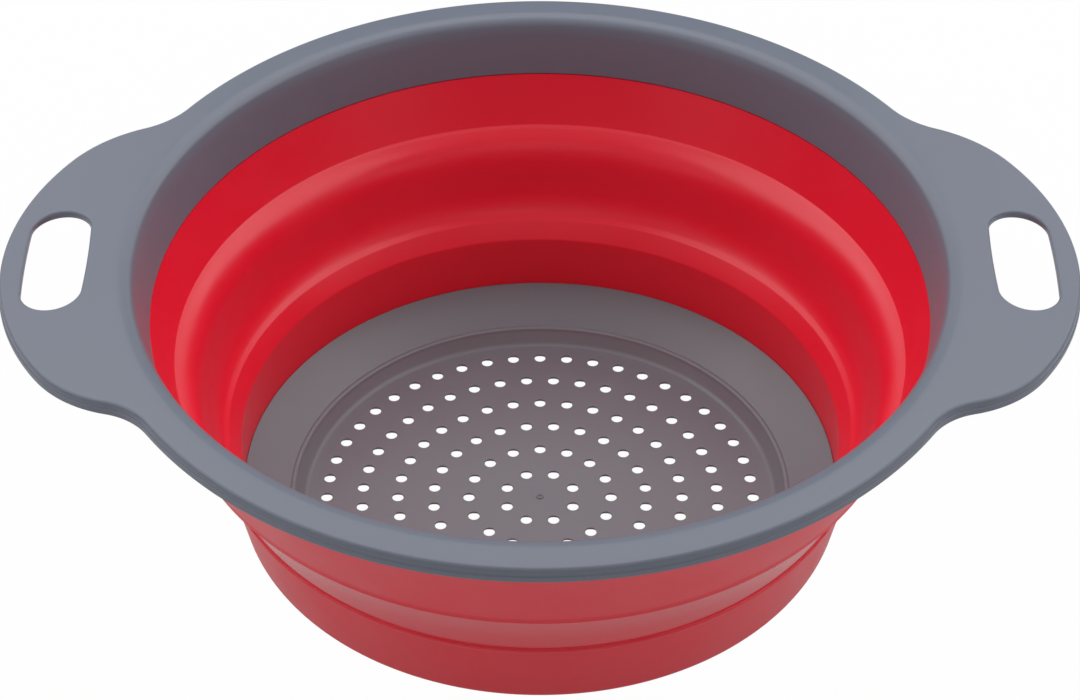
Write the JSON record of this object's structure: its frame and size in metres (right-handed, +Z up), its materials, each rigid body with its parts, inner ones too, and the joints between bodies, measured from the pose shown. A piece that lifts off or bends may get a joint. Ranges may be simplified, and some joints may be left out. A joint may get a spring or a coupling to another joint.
{
  "type": "collapsible colander",
  "caption": "Round colander with slotted side handles, a soft wall that folds flat and a perforated base, for draining and rinsing food.",
  "frame": {"origin": "on the table under the middle of the foot, with the colander standing open", "axes": "+Z up along the axis of the bowl, +X from handle to handle, +Y to the back as pictured"},
  "size_m": [0.301, 0.25, 0.0978],
  "materials": {
    "frame_plastic": "grey moulded polypropylene, fine matt surface",
    "wall_rubber": "red thermoplastic rubber, satin",
    "base_plastic": "grey moulded polypropylene, satin"
  },
  "bodies": {
    "base": {"base_ring": "base_plastic", "strainer_floor": "base_plastic", "lower_band": "wall_rubber", "fold_wall": "wall_rubber"},
    "rim": {"rim_frame": "frame_plastic", "upper_band": "wall_rubber"}
  },
  "joints": [
    {"name": "collapse", "type": "slide", "parent": "base", "child": "rim", "axis": [0, 0, 1], "range_m": [-0.046, 0], "deforming": ["fold_wall"]}
  ]
}
